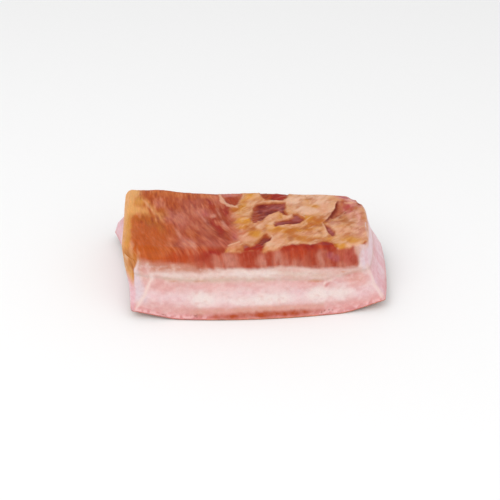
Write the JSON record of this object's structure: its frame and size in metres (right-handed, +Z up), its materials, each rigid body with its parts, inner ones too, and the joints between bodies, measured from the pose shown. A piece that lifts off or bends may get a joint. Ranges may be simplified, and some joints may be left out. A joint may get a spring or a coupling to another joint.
{
  "type": "shoulder bacon slab",
  "caption": "Slab of smoked shoulder bacon lying on its rind: thick pale fat that flares towards the base, a band of inner fat and a smoked, patchy lean top.",
  "frame": {"origin": "under the middle of the slab's box, on the surface that the rind rests on", "axes": "+X along the slab's long side, +Y from the cut front to the back, +Z up, out of the smoked side"},
  "size_m": [0.2336, 0.1202, 0.0565],
  "materials": {
    "outer_fat": "moist pink-white back fat with a smoked rind under it, soft sheen",
    "inner_fat": "creamy white fat, moist, soft sheen",
    "smoked_lean": "red-brown smoked lean with peach and ochre film, satin"
  },
  "bodies": {
    "root": {"outer_fat_layer": "outer_fat", "inner_fat_layer": "inner_fat", "lean_layer": "smoked_lean"}
  },
  "joints": []
}
